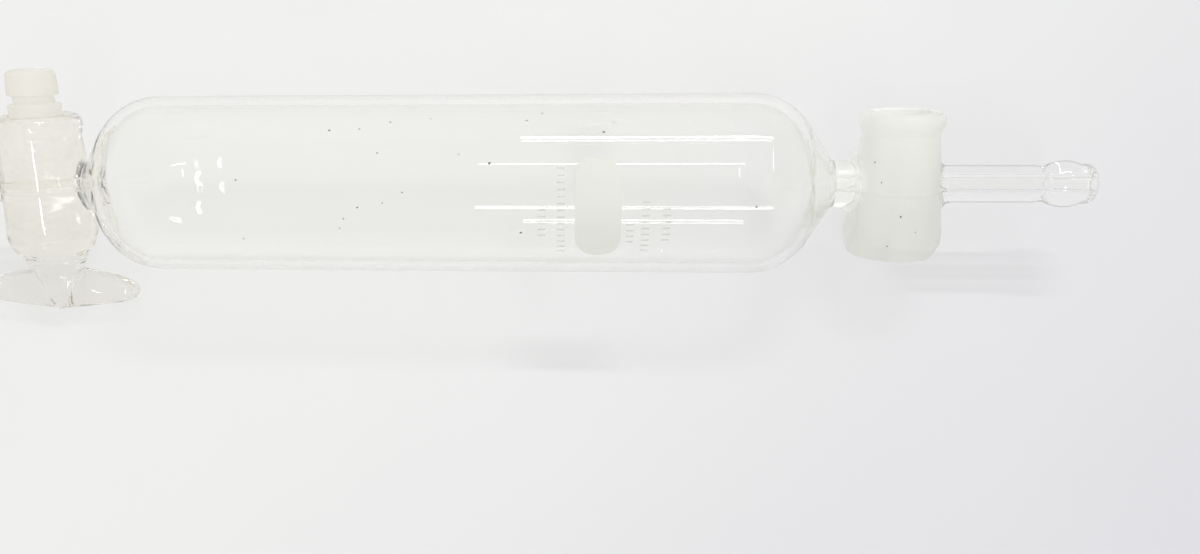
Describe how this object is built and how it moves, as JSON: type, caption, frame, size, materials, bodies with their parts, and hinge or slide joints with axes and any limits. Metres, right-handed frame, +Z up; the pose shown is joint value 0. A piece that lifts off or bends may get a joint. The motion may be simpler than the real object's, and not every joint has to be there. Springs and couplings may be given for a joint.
{
  "type": "gas sampling tube",
  "caption": "Blown glass gas sampling tube with a stopcock barrel and a hose arm at each end; one barrel holds its glass plug, the other is empty.",
  "frame": {"origin": "middle of the overall box, on the table that the tube lies on", "axes": "+X along the tube, towards the empty stopcock barrel; +Y away from the plug's handle; +Z up"},
  "size_m": [0.2574, 0.0461, 0.037],
  "materials": {
    "glass": "clear borosilicate glass, fire-polished, with finely ground sockets",
    "plug_glass": "solid borosilicate glass, ground and greased on the cone",
    "enamel": "fired white enamel, matt"
  },
  "bodies": {
    "tube": {"glass_body": "glass", "marking_patch": "enamel"},
    "plug": {"stopcock_plug": "plug_glass"}
  },
  "joints": [
    {"name": "plug_turn", "type": "hinge", "parent": "tube", "child": "plug", "pos_m": [-0.09024, 0.0008, 0.0185], "axis": [0, -0.8088, -0.5881], "continuous": true}
  ]
}
